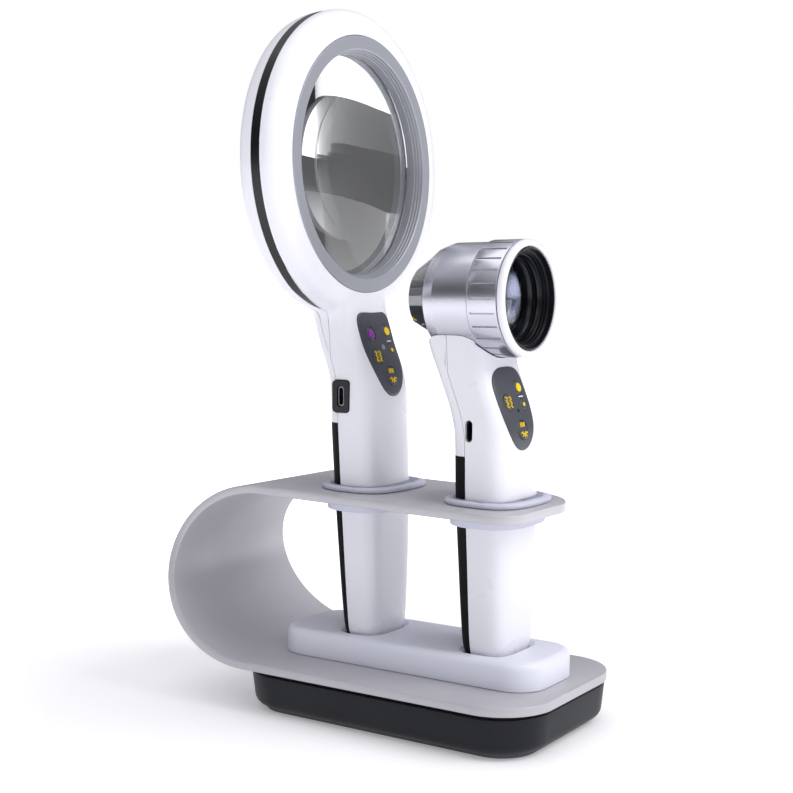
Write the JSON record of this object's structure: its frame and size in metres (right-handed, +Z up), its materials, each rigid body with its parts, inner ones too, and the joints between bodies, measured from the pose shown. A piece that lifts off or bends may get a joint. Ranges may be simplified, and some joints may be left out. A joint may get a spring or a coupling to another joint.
{
  "type": "examination scope set",
  "caption": "Bent-sheet charging stand holding a lit hand magnifier and a focusing lit scope, both lift-off.",
  "frame": {"origin": "middle of the footprint, on the flat underside of the foot pad", "axes": "+X the way both instruments face and the open end of the stand, +Y across, +Z up"},
  "size_m": [0.2062, 0.1468, 0.3347],
  "materials": {
    "anthracite_abs": "satin anthracite",
    "battery_wrap": "blue film",
    "black_anodised": "satin black anodised",
    "black_elastomer": "matt black soft touch",
    "black_gloss_trim": "gloss black",
    "cool_white_abs": "satin bluish white",
    "copper_winding": "enamelled wire",
    "frosted_acrylic": "frosted",
    "green_circuit_board": "green solder mask",
    "grey_painted_ring": "satin grey",
    "grey_panel_film": "matt dark grey film",
    "grey_rubber": "matt grey",
    "lilac_grey_silicone": "satin lilac grey",
    "optical_glass": "polished clear",
    "satin_aluminium": "satin anodised",
    "silver_painted_sheet": "fine satin silver-grey paint",
    "steel": "plated",
    "violet_key": "matt",
    "white_abs": "smooth satin moulded white"
  },
  "bodies": {
    "stand": {"base_ballast": "steel", "base_charger_board": "green_circuit_board", "base_foot_pad": "grey_rubber", "base_housing": "anthracite_abs", "base_power_socket": "black_anodised", "base_screw_1": "steel", "base_screw_2": "steel", "base_screw_3": "steel", "base_screw_4": "steel", "collar_large": "lilac_grey_silicone", "collar_small": "lilac_grey_silicone", "dock_coil_large": "copper_winding", "dock_coil_small": "copper_winding", "dock_cover": "cool_white_abs", "stand_sheet": "silver_painted_sheet"},
    "magnifier": {"mag_battery": "battery_wrap", "mag_bezel": "grey_painted_ring", "mag_charge_coil": "copper_winding", "mag_foot_cap": "black_elastomer", "mag_front_shell": "white_abs", "mag_grip": "black_elastomer", "mag_led_board": "green_circuit_board", "mag_lens": "optical_glass", "mag_lens_retainer": "grey_painted_ring", "mag_light_ring": "frosted_acrylic", "mag_main_board": "green_circuit_board", "mag_panel": "grey_panel_film", "mag_port_plate": "black_gloss_trim", "mag_port_socket": "steel", "mag_rear_shell": "white_abs", "mag_switch_board": "green_circuit_board", "mag_trim_band": "black_gloss_trim"},
    "scope": {"scope_barrel": "satin_aluminium", "scope_battery": "battery_wrap", "scope_charge_coil": "copper_winding", "scope_eyepiece_lens": "optical_glass", "scope_foot_cap": "black_elastomer", "scope_front_rim": "white_abs", "scope_front_shell": "white_abs", "scope_grip": "black_elastomer", "scope_hood": "black_anodised", "scope_led_board": "green_circuit_board", "scope_main_board": "green_circuit_board", "scope_panel": "grey_panel_film", "scope_port_socket": "steel", "scope_rear_cap": "black_anodised", "scope_rear_shell": "white_abs", "scope_switch_board": "green_circuit_board"},
    "focus_ring": {"scope_focus_ring": "satin_aluminium"},
    "lens_carrier": {"scope_lens_cell": "black_anodised", "scope_front_lens": "optical_glass"},
    "mag_button_violet": {"mag_button_violet": "violet_key"},
    "mag_button_brighter": {"mag_button_brighter": "grey_panel_film"},
    "mag_button_dimmer": {"mag_button_dimmer": "grey_panel_film"},
    "mag_button_polariser": {"mag_button_polariser": "grey_panel_film"},
    "mag_button_light_mode": {"mag_button_light_mode": "grey_panel_film"},
    "scope_button_polariser": {"scope_button_polariser": "grey_panel_film"},
    "scope_button_brighter": {"scope_button_brighter": "grey_panel_film"},
    "scope_button_dimmer": {"scope_button_dimmer": "grey_panel_film"},
    "scope_button_light_mode": {"scope_button_light_mode": "grey_panel_film"}
  },
  "joints": [
    {"name": "magnifier_lift", "type": "slide", "parent": "stand", "child": "magnifier", "axis": [0, 0, 1], "range_m": [0, 0.095]},
    {"name": "scope_lift", "type": "slide", "parent": "stand", "child": "scope", "axis": [0, 0, 1], "range_m": [0, 0.095]},
    {"name": "focus_turn", "type": "hinge", "parent": "scope", "child": "focus_ring", "pos_m": [0.0602, 0, 0.1974], "axis": [1, 0, 0], "range_deg": [0, 90]},
    {"name": "lens_travel", "type": "slide", "parent": "scope", "child": "lens_carrier", "axis": [1, 0, 0], "range_m": [-0.004, 0.0004]},
    {"name": "mag_button_violet_press", "type": "slide", "parent": "magnifier", "child": "mag_button_violet", "axis": [-0.9439, -0.0495, -0.3266], "range_m": [0, 0.0004], "stiffness_N_per_m": 600, "springref_m": -0.0003},
    {"name": "mag_button_brighter_press", "type": "slide", "parent": "magnifier", "child": "mag_button_brighter", "axis": [-0.9439, -0.0495, -0.3266], "range_m": [0, 0.0004], "stiffness_N_per_m": 600, "springref_m": -0.0003},
    {"name": "mag_button_dimmer_press", "type": "slide", "parent": "magnifier", "child": "mag_button_dimmer", "axis": [-0.9439, -0.0495, -0.3266], "range_m": [0, 0.0004], "stiffness_N_per_m": 600, "springref_m": -0.0003},
    {"name": "mag_button_polariser_press", "type": "slide", "parent": "magnifier", "child": "mag_button_polariser", "axis": [-0.9439, -0.0495, -0.3266], "range_m": [0, 0.0004], "stiffness_N_per_m": 600, "springref_m": -0.0003},
    {"name": "mag_button_light_mode_press", "type": "slide", "parent": "magnifier", "child": "mag_button_light_mode", "axis": [-0.9439, -0.0495, -0.3266], "range_m": [0, 0.0004], "stiffness_N_per_m": 600, "springref_m": -0.0003},
    {"name": "scope_button_polariser_press", "type": "slide", "parent": "scope", "child": "scope_button_polariser", "axis": [-0.9517, 0, -0.307], "range_m": [0, 0.0004], "stiffness_N_per_m": 600, "springref_m": -0.0003},
    {"name": "scope_button_brighter_press", "type": "slide", "parent": "scope", "child": "scope_button_brighter", "axis": [-0.9517, 0, -0.307], "range_m": [0, 0.0004], "stiffness_N_per_m": 600, "springref_m": -0.0003},
    {"name": "scope_button_dimmer_press", "type": "slide", "parent": "scope", "child": "scope_button_dimmer", "axis": [-0.9517, 0, -0.307], "range_m": [0, 0.0004], "stiffness_N_per_m": 600, "springref_m": -0.0003},
    {"name": "scope_button_light_mode_press", "type": "slide", "parent": "scope", "child": "scope_button_light_mode", "axis": [-0.9517, 0, -0.307], "range_m": [0, 0.0004], "stiffness_N_per_m": 600, "springref_m": -0.0003}
  ],
  "couplings": [
    {"joint": "lens_travel", "follows": "focus_turn", "m_per_rad": -0.0015}
  ]
}
